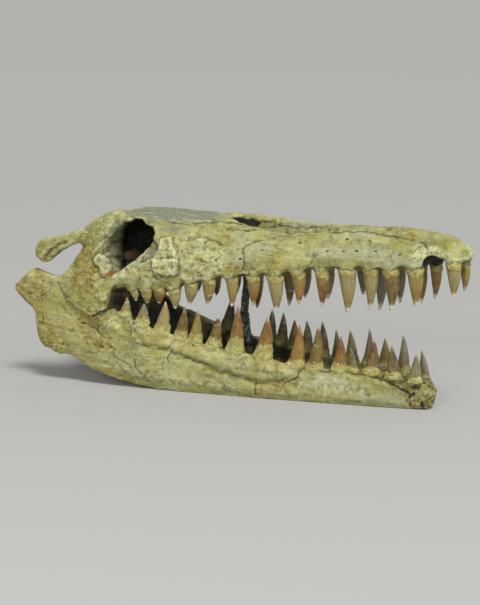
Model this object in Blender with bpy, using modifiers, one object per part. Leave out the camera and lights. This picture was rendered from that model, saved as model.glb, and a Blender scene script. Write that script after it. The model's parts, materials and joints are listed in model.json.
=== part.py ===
"""Fossil mosasaur skull, jaws held open, resting on the undersides of its two lower jaws.

Metres, +Z up. The snout points to +X, the animal's right side is at -Y, and the origin is under
the middle of the skull, on the surface it rests on. Driving dimensions are in millimetres below.
"""

import bpy
import bmesh
from mathutils import Vector

MM = 0.001
RIGHT = -1
LEFT = 1
GAP = 0.4

# Finish of the solids
BONE_VOXEL = 3.6
CRANIUM_TRIANGLES = 2350
MANDIBLE_TRIANGLES = 560
TOOTH_CLEARANCE = 0.35
TOOTH_FLATTENING = 0.8
ROOT_DEPTH = 9.0

# Upper skull, station by station from the snout back: x, height of the roof on the midline,
# half width of the roof, drop from the midline to the roof's edge, half width at the jaw margin,
# height of the margin, and height of the palate's vault above the margin
SKULL_STATIONS = [
    (338, 220, 3, 3, 4, 209, 0),
    (331, 227, 6, 4, 10, 205, 1),
    (319, 234, 8, 4, 16, 205, 3),
    (303, 239, 11, 5, 22, 206, 6),
    (285, 243, 13, 5, 26, 204, 8),
    (278, 244, 13, 5, 27, 196, 12),
    (250, 246, 15, 5, 31, 195, 13),
    (222, 247, 18, 6, 35, 191, 14),
    (190, 246, 20, 7, 38, 192, 14),
    (150, 245, 22, 8, 43, 187, 15),
    (116, 247, 25, 16, 47, 184, 16),
    (70, 251, 27, 20, 53, 176, 17),
    (26, 255, 30, 19, 59, 171, 18),
    (-8, 255, 36, 12, 63, 167, 20),
    (-35, 252, 43, 7, 67, 165, 22),
    (-52, 250, 48, 6, 69, 160, 20),
    (-75, 253, 54, 7, 73, 150, 20),
    (-105, 254, 58, 8, 77, 147, 19),
    (-140, 255, 61, 8, 82, 145, 17),
    (-165, 255, 61, 8, 85, 143, 14),
    (-193, 248, 60, 8, 88, 142, 14),
]
TOOTH_RIDGE = 21

# Pair of bars along the palate, back to the braincase: x, top, bottom, inner y, outer y
PALATE_BARS = [
    (70, 204, 187, 6, 16),
    (0, 194, 172, 12, 26),
    (-70, 190, 158, 16, 34),
    (-130, 180, 150, 18, 36),
    (-186, 176, 150, 18, 36),
    (-222, 176, 158, 20, 36),
]

# Braincase behind the roof: x, top, bottom, half width
BRAINCASE_STATIONS = [
    (-150, 254, 178, 34),
    (-190, 246, 174, 27),
    (-215, 238, 170, 25),
    (-238, 227, 168, 28),
    (-247, 218, 176, 20),
]
# Ball for the neck and the wing on each side of the braincase: middle, radii
CONDYLE = ((-246, 0, 190), (9, 11, 9))
WING = ((-236, 30, 212), (11, 24, 11))

# Bar over the opening behind the eye, with its broken, hooked end: x, middle y, top, bottom,
# thickness
ARCH_STATIONS = [
    (-150, 44, 252, 226, 34),
    (-172, 54, 257, 226, 30),
    (-191, 68, 251, 222, 24),
    (-206, 75, 243, 214, 21),
    (-217, 82, 232, 206, 18),
    (-232, 87, 226, 205, 16),
    (-246, 90, 221, 196, 15),
    (-258, 92, 216, 188, 15),
    (-270, 94, 216, 178, 16),
    (-283, 95, 213, 175, 15),
    (-292, 95, 207, 180, 13),
    (-296, 95, 201, 187, 9),
]
# The hidden left bar lies a little lower and ends sooner
LEFT_ARCH_DROP = 8
LEFT_ARCH_END = -286

# Cheek between the arch and the jaw joint: height, rear x, front x, middle y, thickness
CHEEK_STATIONS = [
    (238, -211, -168, 68, 26),
    (220, -214, -176, 75, 25),
    (205, -214, -180, 79, 24),
    (192, -229, -180, 82, 24),
    (178, -239, -176, 83, 24),
    (165, -247, -166, 84, 24),
    (152, -266, -160, 85, 24),
    (138, -264, -170, 86, 24),
    (120, -262, -177, 86, 24),
    (96, -262, -181, 85, 22),
]

# Surface between the cheek and the lower jaw, seen from the side: x, z
JOINT_LINE = [(-345, 226), (-262, 154), (-240, 122), (-203, 102), (-181, 112), (-150, 150)]

# Eye socket, seen from the side: x, z
ORBIT_OUTLINE = [
    (-177, 184),
    (-180, 200),
    (-178, 217),
    (-171, 231),
    (-161, 240),
    (-147, 244),
    (-130, 240),
    (-119, 234),
    (-112, 227),
    (-113, 217),
    (-119, 206),
    (-130, 193),
    (-145, 181),
    (-160, 170),
    (-171, 166),
]
ORBIT_FLOOR_Y = 15

# Nostril slot beside the bar between the nostrils: x, inner y, outer y
NOSTRIL_STATIONS = [(-12, 9, 19), (0, 8, 24), (40, 7, 25), (85, 7, 23), (125, 6, 19), (154, 7, 12)]
NOSTRIL_FLOOR = 222
NOSTRIL_TOP = 275

# Lower jaw: x, outer y, inner y, bottom, top
MANDIBLE_STATIONS = [
    (289, 9, -3, 12, 24),
    (285, 13, -4, 4, 30),
    (277, 16, -4, 0, 39),
    (262, 20, -3, -2, 39),
    (240, 25, -2, -3, 43),
    (220, 29, 3, -3, 47),
    (200, 32, 9, -3, 49),
    (160, 39, 15, -3, 48),
    (110, 47, 22, -3, 49),
    (60, 55, 29, -3, 56),
    (0, 63, 36, -3, 64),
    (-60, 71, 43, -3, 73),
    (-110, 78, 51, 0, 86),
    (-150, 83, 56, 5, 101),
    (-180, 87, 61, 12, 117),
    (-200, 89, 64, 19, 134),
    (-218, 91, 67, 28, 148),
    (-240, 93, 69, 39, 156),
    (-265, 95, 71, 42, 157),
    (-288, 96, 74, 50, 161),
    (-299, 96, 75, 68, 166),
]
# Broken knob behind the right jaw joint: x, outer y, inner y, bottom, top
KNOB_STATIONS = [
    (-290, 95, 74, 96, 164),
    (-302, 96, 75, 102, 168),
    (-312, 97, 77, 111, 161),
    (-323, 97, 80, 119, 151),
    (-333, 96, 84, 128, 144),
    (-338, 95, 88, 133, 140),
]
# The left jaw is broken off lower and shorter
LEFT_JAW_END = [(-275, 95, 72, 46, 144), (-290, 94, 76, 60, 126), (-296, 92, 79, 76, 108)]
LEFT_TOP_LIMIT = 148

# Seam between the two jaws at the chin: where it starts, how high it goes, how deep the cutter is
# on the far side, and half the gap
CHIN_START = 150
CHIN_TOP = 120
CHIN_DEPTH = 60
CHIN_GAP = 0.25

# How far the cutters reach past the skull, and the y at which the cheek's joint starts
CUTTER_LENGTH = 340
CUTTER_SIDE = 125
CUTTER_TOP = 330
CUTTER_BOTTOM = -40
JOINT_INNER_Y = 52

# Teeth, front to back: x of the base, x of the tip, height of the tip, width at the base
UPPER_RIGHT_TEETH = [
    (313, 314, 156, 23),
    (262, 264, 142, 24),
    (230, 232, 135, 24),
    (202, 202, 134, 22),
    (169, 171, 127, 26),
    (134, 135, 134, 22),
    (101, 102, 135, 23),
    (67, 70, 123, 25),
    (36, 36, 130, 21),
    (5, 5, 126, 20),
    (-29, -31, 127, 22),
    (-55, -58, 126, 23),
    (-81, -79, 119, 21),
    (-103, -103, 125, 20),
    (-124, -121, 124, 20),
    (-143, -138, 127, 16),
]
UPPER_LEFT_TEETH = [
    (322, 322, 162, 15),
    (279, 278, 148, 19),
    (257, 258, 139, 19),
    (224, 225, 137, 20),
    (195, 195, 124, 22),
    (166, 168, 142, 19),
    (112, 112, 132, 20),
    (74, 74, 130, 20),
    (47, 47, 116, 21),
    (-7, -8, 107, 22),
    (-45, -46, 122, 20),
    (-82, -81, 119, 19),
    (-118, -115, 123, 18),
]
LOWER_RIGHT_TEETH = [
    (262, 264, 76, 21),
    (232, 230, 85, 22),
    (204, 206, 95, 24),
    (177, 175, 79, 16),
    (159, 161, 95, 22),
    (124, 130, 111, 25),
    (98, 103, 107, 26),
    (49, 58, 118, 28),
    (8, 14, 128, 26),
    (-24, -15, 114, 24),
    (-52, -46, 119, 22),
    (-74, -65, 124, 22),
    (-102, -94, 129, 25),
    (-132, -127, 125, 21),
    (-158, -153, 132, 18),
]
LOWER_LEFT_TEETH = [
    (268, 263, 78, 18),
    (236, 235, 96, 22),
    (206, 206, 87, 20),
    (180, 181, 98, 20),
    (153, 150, 93, 20),
    (129, 127, 91, 18),
    (106, 104, 101, 20),
    (79, 78, 98, 20),
    (55, 57, 98, 19),
    (35, 38, 107, 19),
    (14, 19, 109, 20),
    (-60, -52, 122, 23),
]

# Dark column in the mouth: x, y, z, radius
PILLAR_ROUTE = [
    (-17, 42, 57, 9.5),
    (-20, 39, 76, 7.5),
    (-20, 37, 104, 5.5),
    (-16, 35, 138, 5.5),
    (-12, 33, 166, 7.0),
    (-11, 32, 187, 8.5),
]


def along(stations, position):
    """The values of the station table at this place, straight between its rows."""
    rows = sorted(stations)
    if position <= rows[0][0]:
        return rows[0][1:]
    for low, high in zip(rows, rows[1:]):
        if position <= high[0]:
            share = (position - low[0]) / (high[0] - low[0])
            return tuple(a + share * (b - a) for a, b in zip(low[1:], high[1:]))
    return rows[-1][1:]


def clear_scene():
    for obj in list(bpy.data.objects):
        bpy.data.objects.remove(obj, do_unlink=True)


def new_collection(name):
    collection = bpy.data.collections.new(name)
    bpy.context.scene.collection.children.link(collection)
    return collection


def make_material(name, colour, roughness):
    material = bpy.data.materials.new(name)
    material.use_nodes = True
    shader = material.node_tree.nodes["Principled BSDF"]
    shader.inputs["Base Color"].default_value = (*colour, 1)
    shader.inputs["Roughness"].default_value = roughness
    shader.inputs["Metallic"].default_value = 0
    return material


def add_object(name, bm, collection):
    mesh = bpy.data.meshes.new(name)
    bmesh.ops.recalc_face_normals(bm, faces=bm.faces)
    bm.to_mesh(mesh)
    bm.free()
    obj = bpy.data.objects.new(name, mesh)
    collection.objects.link(obj)
    return obj


def as_helper(obj):
    """Marks an object that only cuts others."""
    obj.hide_render = True
    obj.display_type = "WIRE"
    return obj


def add_loft(bm, rings):
    """A closed body through rings of the same number of points, in millimetres."""
    made = [[bm.verts.new(Vector(point) * MM) for point in ring] for ring in rings]
    for ring, following in zip(made, made[1:]):
        for i in range(len(ring)):
            k = (i + 1) % len(ring)
            bm.faces.new((ring[i], ring[k], following[k], following[i]))
    bm.faces.new(made[0])
    bm.faces.new(made[-1])


def add_lump(bm, centre, radii):
    """A rounded lump of bone, in millimetres."""
    made = bmesh.ops.create_icosphere(bm, subdivisions=2, radius=MM)
    bmesh.ops.scale(bm, vec=radii, verts=made["verts"])
    bmesh.ops.translate(bm, vec=Vector(centre) * MM, verts=made["verts"])


def rounded_ring(x, low, high, inner, outer):
    """A rounded rectangle in the plane at x, between two heights and two values of y."""
    width = outer - inner
    height = high - low
    return [
        (x, inner + 0.25 * width, low),
        (x, inner + 0.75 * width, low),
        (x, outer, low + 0.25 * height),
        (x, outer, high - 0.25 * height),
        (x, inner + 0.75 * width, high),
        (x, inner + 0.25 * width, high),
        (x, inner, high - 0.25 * height),
        (x, inner, low + 0.25 * height),
    ]


def skull_ring(x):
    """The upper skull's section at x: an arch over the palate, with a tooth ridge on each side."""
    roof, roof_half, drop, half, margin, vault = along(SKULL_STATIONS, x)
    ridge = min(TOOTH_RIDGE, 0.75 * half)
    side = roof - drop - margin
    palate = margin + vault
    half_ring = [
        (0, roof),
        (0.55 * roof_half, roof - 0.35 * drop),
        (roof_half, roof - drop),
        (roof_half + 0.55 * (half - roof_half), margin + 0.68 * side),
        (half - 1, margin + 0.36 * side),
        (half, margin + 0.14 * side),
        (half - 0.18 * ridge, margin),
        (half - 0.8 * ridge, margin),
        (half - ridge, margin + 0.6 * vault),
        (0.5 * (half - ridge), palate),
        (0, palate),
    ]
    mirrored = [(-y, z) for y, z in half_ring[-2:0:-1]]
    return [(x, y, z) for y, z in half_ring + mirrored]


def skull_forms(bm):
    """The snout, roof, eye region and braincase of the upper skull."""
    add_loft(bm, [skull_ring(station[0]) for station in SKULL_STATIONS])
    rings = [rounded_ring(x, low, high, -half, half) for x, high, low, half in BRAINCASE_STATIONS]
    add_loft(bm, rings)
    add_lump(bm, *CONDYLE)
    for side in (RIGHT, LEFT):
        (x, y, z), radii = WING
        add_lump(bm, (x, side * y, z), radii)
        rings = []
        for x, top, bottom, inner, outer in PALATE_BARS:
            rings.append(rounded_ring(x, bottom, top, *sorted((side * inner, side * outer))))
        add_loft(bm, rings)


def arch_forms(bm, side):
    rings = []
    for x, y, top, bottom, thickness in ARCH_STATIONS:
        drop = LEFT_ARCH_DROP if side == LEFT else 0
        if side == LEFT and x < LEFT_ARCH_END:
            break
        ends = sorted((side * (y - thickness / 2), side * (y + thickness / 2)))
        rings.append(rounded_ring(x, bottom - drop, top - drop, *ends))
    add_loft(bm, rings)


def cheek_forms(bm, side):
    """The plate of bone and matrix behind the eye, down past the jaw joint."""
    rings = []
    for z, rear, front, y, thickness in CHEEK_STATIONS:
        ends = sorted((side * (y - thickness / 2), side * (y + thickness / 2)))
        ring = rounded_ring(z, rear, front, *ends)
        rings.append([(x, y_value, height) for height, y_value, x in ring])
    add_loft(bm, rings)


def jaw_forms(bm, stations, side):
    rings = []
    for x, outer, inner, bottom, top in stations:
        rings.append(rounded_ring(x, bottom, top, *sorted((side * inner, side * outer))))
    add_loft(bm, rings)


def tooth_place(base_x, side, upper):
    """Where a tooth stands: the middle of the jaw margin at x."""
    if upper:
        _, _, _, half, margin, _ = along(SKULL_STATIONS, base_x)
        ridge = min(TOOTH_RIDGE, 0.75 * half)
        return Vector((base_x, side * (half - 0.49 * ridge), margin))
    outer, inner, _, top = along(MANDIBLE_STATIONS, base_x)
    middle = 0.5 * (outer + max(inner, 0)) + 1
    return Vector((base_x, side * middle, top))


def collar_forms(bm, teeth, side, upper):
    """The rough bone that swells round the base of each tooth."""
    for base_x, _, _, width in teeth:
        place = tooth_place(base_x, side, upper)
        down = 1 if upper else -1
        add_lump(bm, place + Vector((0, 0, 2 * down)), (0.62 * width, 0.5 * width + 1, 8))


def fused(obj, smoothing):
    """Makes one skin of the overlapping forms and rounds it."""
    fuse = obj.modifiers.new("Fuse", "REMESH")
    fuse.mode = "VOXEL"
    fuse.voxel_size = BONE_VOXEL * MM
    soften = obj.modifiers.new("Soften", "SMOOTH")
    soften.factor = 0.5
    soften.iterations = smoothing


def thinned(obj, triangles):
    """Keeps about this many triangles."""
    graph = bpy.context.evaluated_depsgraph_get()
    mesh = obj.evaluated_get(graph).to_mesh()
    mesh.calc_loop_triangles()
    count = len(mesh.loop_triangles)
    obj.evaluated_get(graph).to_mesh_clear()
    thin = obj.modifiers.new("Thin", "DECIMATE")
    thin.ratio = min(1, triangles / count)
    thin.use_collapse_triangulate = True


def cut(obj, cutter, name):
    modifier = obj.modifiers.new(name, "BOOLEAN")
    modifier.operation = "DIFFERENCE"
    modifier.object = cutter


def cut_all(obj, collection, name):
    modifier = obj.modifiers.new(name, "BOOLEAN")
    modifier.operation = "DIFFERENCE"
    modifier.operand_type = "COLLECTION"
    modifier.collection = collection


def rectangle(low_x, low_z, high_x, high_z):
    """Its four corners, seen from the side."""
    return [(low_x, low_z), (high_x, low_z), (high_x, high_z), (low_x, high_z)]


def side_prism(name, outline, near, far, collection):
    """A closed prism of an outline seen from the side, between two values of y."""
    bm = bmesh.new()
    add_loft(bm, [[(x, y, z) for x, z in outline] for y in (near, far)])
    return as_helper(add_object(name, bm, collection))


def orbit_cutter(side, collection):
    """The deep, slightly narrowing pocket of an eye socket."""
    middle_x = sum(x for x, _ in ORBIT_OUTLINE) / len(ORBIT_OUTLINE)
    middle_z = sum(z for _, z in ORBIT_OUTLINE) / len(ORBIT_OUTLINE)
    rings = []
    for y, size in ((112, 1.06), (80, 1.0), (ORBIT_FLOOR_Y + 18, 0.93), (ORBIT_FLOOR_Y, 0.6)):
        ring = []
        for x, z in ORBIT_OUTLINE:
            ring.append((middle_x + size * (x - middle_x), side * y, middle_z + size * (z - middle_z)))
        rings.append(ring)
    bm = bmesh.new()
    add_loft(bm, rings)
    return as_helper(add_object("orbit_cutter", bm, collection))


def nostril_cutter(side, collection):
    rings = []
    for x, inner, outer in NOSTRIL_STATIONS:
        ends = sorted((side * inner, side * outer))
        rings.append(rounded_ring(x, NOSTRIL_FLOOR, NOSTRIL_TOP, *ends))
    bm = bmesh.new()
    add_loft(bm, rings)
    return as_helper(add_object("nostril_cutter", bm, collection))


def joint_cutter(name, side, above, offset, collection):
    """All that lies above, or below, the surface between cheek and lower jaw."""
    line = [(x, z + offset) for x, z in JOINT_LINE]
    level = CUTTER_TOP if above else CUTTER_BOTTOM
    outline = line + [(line[-1][0], level), (line[0][0], level)]
    ends = sorted((side * JOINT_INNER_Y, side * CUTTER_SIDE))
    return side_prism(name, outline, *ends, collection)


def bent_rod(route, sides_step):
    """A closed rod along points with a radius at each, in millimetres."""
    curve = bpy.data.curves.new("rod", "CURVE")
    curve.dimensions = "3D"
    curve.bevel_depth = MM
    curve.bevel_resolution = sides_step
    curve.use_fill_caps = True
    spline = curve.splines.new("POLY")
    spline.points.add(len(route) - 1)
    for point, (place, radius) in zip(spline.points, route):
        point.co = (*(Vector(place) * MM), 1)
        point.radius = radius
    holder = bpy.data.objects.new("rod", curve)
    bpy.context.scene.collection.objects.link(holder)
    graph = bpy.context.evaluated_depsgraph_get()
    mesh = bpy.data.meshes.new_from_object(holder.evaluated_get(graph))
    bpy.data.objects.remove(holder, do_unlink=True)
    bm = bmesh.new()
    bm.from_mesh(mesh)
    bmesh.ops.remove_doubles(bm, verts=bm.verts, dist=1e-6)
    bmesh.ops.recalc_face_normals(bm, faces=bm.faces)
    bm.to_mesh(mesh)
    bm.free()
    return mesh


def tooth_mesh(base, tip, width, clearance):
    """A tooth on a bent centre line: root, swollen base and crown, a little flat sideways."""
    axis = (tip - base).normalized()
    length = (tip - base).length
    bow = Vector((1, 0, 0)) * 0.03 * length
    radius = width / 2
    route = [
        (base - axis * (ROOT_DEPTH + clearance), 0.55 * radius + clearance),
        (base + axis * 0.03 * length, radius + clearance),
        (base + axis * 0.52 * length + bow, 0.67 * radius + clearance),
        (tip + axis * clearance, 0.06 * radius + clearance),
    ]
    mesh = bent_rod(route, 1)
    middle = base.y * MM
    for vert in mesh.vertices:
        vert.co.y = middle + TOOTH_FLATTENING * (vert.co.y - middle)
    return mesh


def make_tooth_row(label, teeth, side, upper, enamel, skull, sockets):
    """One object for each tooth, and a slightly larger cutter that makes its socket."""
    for number, (base_x, tip_x, tip_z, width) in enumerate(teeth, 1):
        base = tooth_place(base_x, side, upper)
        tip = Vector((tip_x, base.y + side * 1.5, tip_z))
        name = f"{label}_tooth_{number:02d}"
        tooth = bpy.data.objects.new(name, tooth_mesh(base, tip, width, 0))
        tooth.data.materials.append(enamel)
        tooth.data.shade_smooth()
        skull.objects.link(tooth)
        clearing = tooth_mesh(base, tip, width, TOOTH_CLEARANCE)
        sockets.objects.link(as_helper(bpy.data.objects.new(name + "_socket", clearing)))


def pillar_mesh(clearance):
    route = [((x, y, z), radius + clearance) for x, y, z, radius in PILLAR_ROUTE]
    (x, y, z), radius = route[0]
    route[0] = ((x, y, z - clearance), radius)
    (x, y, z), radius = route[-1]
    route[-1] = ((x, y, z + clearance), radius)
    return bent_rod(route, 2)


def make_cranium(bone, skull, cutters, upper_sockets):
    """The whole upper skull, fossilised in one piece."""
    bm = bmesh.new()
    skull_forms(bm)
    for side in (RIGHT, LEFT):
        arch_forms(bm, side)
        cheek_forms(bm, side)
    collar_forms(bm, UPPER_RIGHT_TEETH, RIGHT, True)
    collar_forms(bm, UPPER_LEFT_TEETH, LEFT, True)
    cranium = add_object("cranium", bm, skull)
    cranium.data.materials.append(bone)
    fused(cranium, 2)
    for side in (RIGHT, LEFT):
        cut(cranium, orbit_cutter(side, cutters), "Eye socket")
        cut(cranium, nostril_cutter(side, cutters), "Nostril")
    fused(cranium, 3)
    thinned(cranium, CRANIUM_TRIANGLES)
    for side in (RIGHT, LEFT):
        cut(cranium, joint_cutter("below_joint", side, False, GAP, cutters), "Jaw joint")
    cut_all(cranium, upper_sockets, "Tooth sockets")
    return cranium


def make_mandible(name, side, teeth, bone, skull, cutters, sockets):
    """One lower jaw, flat underneath where it rests."""
    bm = bmesh.new()
    if side == RIGHT:
        jaw_forms(bm, MANDIBLE_STATIONS, side)
        jaw_forms(bm, KNOB_STATIONS, side)
    else:
        kept = [row for row in MANDIBLE_STATIONS if row[0] > LEFT_JAW_END[0][0]]
        lowered = [(*row[:4], min(row[4], LEFT_TOP_LIMIT)) for row in kept]
        jaw_forms(bm, lowered + LEFT_JAW_END, side)
    collar_forms(bm, teeth, side, False)
    mandible = add_object(name, bm, skull)
    mandible.data.materials.append(bone)
    fused(mandible, 2)
    thinned(mandible, MANDIBLE_TRIANGLES)
    cut(mandible, joint_cutter("above_joint", side, True, 0, cutters), "Jaw joint")
    floor = (-CUTTER_LENGTH, CUTTER_BOTTOM, CUTTER_LENGTH, 0)
    floor_prism = side_prism("floor", rectangle(*floor), -CUTTER_SIDE, CUTTER_SIDE, cutters)
    cut(mandible, floor_prism, "Flat underside")
    chin = (CHIN_START, CUTTER_BOTTOM, CUTTER_LENGTH, CHIN_TOP)
    ends = sorted((side * CHIN_GAP, -side * CHIN_DEPTH))
    cut(mandible, side_prism("midline", rectangle(*chin), *ends, cutters), "Chin seam")
    cut_all(mandible, sockets, "Tooth sockets")
    return mandible


def main():
    clear_scene()
    skull = new_collection("Fossil mosasaur skull")
    cutters = new_collection("Cutters")
    upper_sockets = new_collection("Upper sockets")
    right_sockets = new_collection("Lower right sockets")
    left_sockets = new_collection("Lower left sockets")
    bone = make_material("fossil_bone", (0.55, 0.50, 0.28), 0.8)
    enamel = make_material("tooth_enamel", (0.45, 0.27, 0.10), 0.35)
    dark_matrix = make_material("dark_matrix", (0.04, 0.05, 0.05), 0.35)

    rows = [
        ("upper_right", UPPER_RIGHT_TEETH, RIGHT, True, upper_sockets),
        ("upper_left", UPPER_LEFT_TEETH, LEFT, True, upper_sockets),
        ("lower_right", LOWER_RIGHT_TEETH, RIGHT, False, right_sockets),
        ("lower_left", LOWER_LEFT_TEETH, LEFT, False, left_sockets),
    ]
    for label, teeth, side, upper, sockets in rows:
        make_tooth_row(label, teeth, side, upper, enamel, skull, sockets)

    pillar = bpy.data.objects.new("matrix_pillar", pillar_mesh(0))
    pillar.data.materials.append(dark_matrix)
    skull.objects.link(pillar)
    for sockets in (upper_sockets, left_sockets):
        clearing = bpy.data.objects.new("pillar_seat", pillar_mesh(TOOTH_CLEARANCE))
        sockets.objects.link(as_helper(clearing))

    make_cranium(bone, skull, cutters, upper_sockets)
    make_mandible(
        "right_mandible", RIGHT, LOWER_RIGHT_TEETH, bone, skull, cutters, right_sockets
    )
    make_mandible("left_mandible", LEFT, LOWER_LEFT_TEETH, bone, skull, cutters, left_sockets)


main()
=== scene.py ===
import json
import math

import bpy
import numpy as np
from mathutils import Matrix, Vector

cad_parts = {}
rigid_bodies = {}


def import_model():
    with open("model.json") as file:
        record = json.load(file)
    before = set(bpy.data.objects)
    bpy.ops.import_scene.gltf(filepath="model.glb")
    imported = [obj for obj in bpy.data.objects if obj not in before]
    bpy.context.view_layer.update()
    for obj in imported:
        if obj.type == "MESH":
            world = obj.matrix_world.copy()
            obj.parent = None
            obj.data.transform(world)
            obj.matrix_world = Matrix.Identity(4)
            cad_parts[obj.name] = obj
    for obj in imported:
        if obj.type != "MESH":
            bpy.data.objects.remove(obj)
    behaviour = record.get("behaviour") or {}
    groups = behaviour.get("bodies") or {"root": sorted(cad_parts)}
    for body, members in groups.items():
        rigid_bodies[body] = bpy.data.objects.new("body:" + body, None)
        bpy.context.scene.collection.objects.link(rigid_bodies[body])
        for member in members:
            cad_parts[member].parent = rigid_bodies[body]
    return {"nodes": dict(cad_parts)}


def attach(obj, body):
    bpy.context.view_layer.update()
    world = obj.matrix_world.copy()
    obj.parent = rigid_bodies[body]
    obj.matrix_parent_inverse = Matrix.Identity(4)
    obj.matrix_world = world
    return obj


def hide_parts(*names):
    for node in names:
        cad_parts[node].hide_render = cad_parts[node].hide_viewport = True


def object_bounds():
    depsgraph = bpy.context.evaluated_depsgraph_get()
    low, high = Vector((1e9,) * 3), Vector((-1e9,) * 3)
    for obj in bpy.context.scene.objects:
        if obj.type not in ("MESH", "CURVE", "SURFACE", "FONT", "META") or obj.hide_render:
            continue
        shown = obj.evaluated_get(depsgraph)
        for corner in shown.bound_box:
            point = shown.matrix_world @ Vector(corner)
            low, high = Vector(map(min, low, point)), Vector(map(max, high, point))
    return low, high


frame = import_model()
cad_low, cad_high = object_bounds()

# The upper skull: snout, roof, eye sockets and cheeks, turned to stone in one piece and cleaned of
# rock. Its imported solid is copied, given a fine skin and rounded, and is then carved where the real
# bone is cracked, plated, pierced or still covered with rock.
MM = 0.001
SKULL_GRAIN = 2.05 * MM
SKULL_ROUNDS = 9
BODY = "root"


def select_none():
    for other in bpy.context.view_layer.objects:
        other.select_set(False)


def select_only(piece):
    select_none()
    piece.select_set(True)
    bpy.context.view_layer.objects.active = piece


def apply_modifier(piece, kind, **settings):
    select_only(piece)
    modifier = piece.modifiers.new(kind.title(), kind)
    for setting, value in settings.items():
        setattr(modifier, setting, value)
    bpy.ops.object.modifier_apply(modifier=modifier.name)


def fine_copy(node, name, grain, rounds):
    """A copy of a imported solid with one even, fine skin, its facets rounded away."""
    piece = bpy.data.objects.new(name, frame["nodes"][node].data.copy())
    bpy.context.scene.collection.objects.link(piece)
    piece.data.materials.clear()
    select_only(piece)
    bpy.ops.object.mode_set(mode="EDIT")
    bpy.ops.mesh.select_all(action="SELECT")
    bpy.ops.mesh.remove_doubles(threshold=0.001 * MM)
    bpy.ops.object.mode_set(mode="OBJECT")
    apply_modifier(piece, "REMESH", mode="VOXEL", voxel_size=grain)
    apply_modifier(piece, "SMOOTH", factor=0.5, iterations=rounds)
    return piece


def points_of(piece):
    """The vertices' places, in millimetres."""
    flat = np.empty(len(piece.data.vertices) * 3, np.float32)
    piece.data.vertices.foreach_get("co", flat)
    return flat.reshape(-1, 3).astype(float) / MM


def facings_of(piece):
    flat = np.empty(len(piece.data.vertices) * 3, np.float32)
    piece.data.vertices.foreach_get("normal", flat)
    return flat.reshape(-1, 3).astype(float)


def put_points(piece, points):
    """Writes the places back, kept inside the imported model's box."""
    kept = np.clip(points * MM, np.array(cad_low), np.array(cad_high))
    piece.data.vertices.foreach_set("co", kept.astype(np.float32).ravel())
    piece.data.update()


def cloud(points, size, seed):
    """Smooth random values from -1 to 1; size is a lump's size in millimetres, or one for each axis."""
    spot = points / np.array(size, float)
    cell = np.floor(spot).astype(np.int64)
    part = spot - cell
    part = part * part * (3 - 2 * part)
    total = np.zeros(len(points))
    for corner in np.ndindex(2, 2, 2):
        key = (cell + corner) @ np.array([73856093, 19349663, 83492791]) + seed * 7919
        key = (key ^ (key >> 13)) * 1274126177
        value = ((key ^ (key >> 16)) & 65535) / 32767.5 - 1
        total += value * np.prod(np.where(corner, part, 1 - part), axis=1)
    return total


def fade(value, start, end):
    """0 before start, 1 after end, smooth between them."""
    share = np.clip((value - start) / (end - start), 0, 1)
    return share * share * (3 - 2 * share)


def wavy(points, reach, seed):
    """The side view of the points, x and z, with ragged wobbles, so that no edge is a clean line."""
    across = cloud(points, 7, seed) + 0.5 * cloud(points, 3.2, seed + 1)
    up = cloud(points, 7, seed + 2) + 0.5 * cloud(points, 3.2, seed + 3)
    return points[:, (0, 2)] + reach * np.stack((across, up), axis=1)


def line_distance(flat, line):
    """How far each point of the side view is from a line through these x and z."""
    nearest = np.full(len(flat), 1e9)
    for start, end in zip(line, line[1:]):
        start = np.array(start, float)
        run = np.array(end, float) - start
        share = np.clip((flat - start) @ run / (run @ run), 0, 1)
        away = np.linalg.norm(flat - start - share[:, None] * run, axis=1)
        nearest = np.minimum(nearest, away)
    return nearest


def groove(flat, line, width):
    return np.exp(-((line_distance(flat, line) / width) ** 2))


def patch(flat, outline, soft):
    """1 inside a closed outline, fading to 0 over the soft edge outside it."""
    inside = np.zeros(len(flat), bool)
    x, z = flat[:, 0], flat[:, 1]
    closed = outline + outline[:1]
    for (ax, az), (bx, bz) in zip(closed, closed[1:]):
        if az == bz:
            continue
        crossing = ax + (z - az) * (bx - ax) / (bz - az)
        inside ^= ((az > z) != (bz > z)) & (x < crossing)
    edge = 1 - fade(line_distance(flat, closed), 0, soft)
    return np.where(inside, 1.0, edge)


def blob(flat, centre, radii):
    away = np.linalg.norm((flat - np.array(centre, float)) / np.array(radii, float), axis=1)
    return 1 - fade(away, 0.55, 1.1)


def pits(points, size, share, seed):
    """Small separate hollows: 1 in the middle of each."""
    return fade(cloud(points, size, seed), 1 - share, 1 - 0.45 * share)


def most(*masks):
    """The strongest of several masks at each point."""
    return np.maximum.reduce(masks)


def hollows(piece, rounds):
    """How far each vertex lies below its rounded surroundings, in millimetres."""
    count = len(piece.data.vertices)
    flat = np.empty(len(piece.data.edges) * 2, np.int32)
    piece.data.edges.foreach_get("vertices", flat)
    ends = flat.reshape(-1, 2)
    both = np.concatenate((ends, ends[:, ::-1]))
    neighbours = np.bincount(both[:, 0], minlength=count)[:, None]
    start = points_of(piece)
    smooth = start.copy()
    for _ in range(rounds):
        columns = [np.bincount(both[:, 0], smooth[both[:, 1], axis], count) for axis in range(3)]
        smooth = 0.5 * smooth + 0.5 * np.stack(columns, axis=1) / neighbours
    return ((smooth - start) * facings_of(piece)).sum(axis=1)


def dirt_shade_and_wear_masks(piece):
    """Where grime gathers and shade is painted in small and broad hollows, and where edges are worn
    pale.
    """
    fine, broad = hollows(piece, 2), hollows(piece, 14)
    return {
        "dirt_and_shade_in_hollows": fade(fine, 0.05, 0.45) * 0.9 + fade(broad, 0.25, 1.6),
        "edge": fade(-fine, 0.04, 0.35) * 0.7 + fade(-broad, 0.3, 1.4) * 0.6,
    }


def write_masks(piece, masks):
    for name, values in masks.items():
        layer = piece.data.attributes.new(name, "FLOAT", "POINT")
        layer.data.foreach_set("value", np.clip(values, 0, 1).astype(np.float32))


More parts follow.
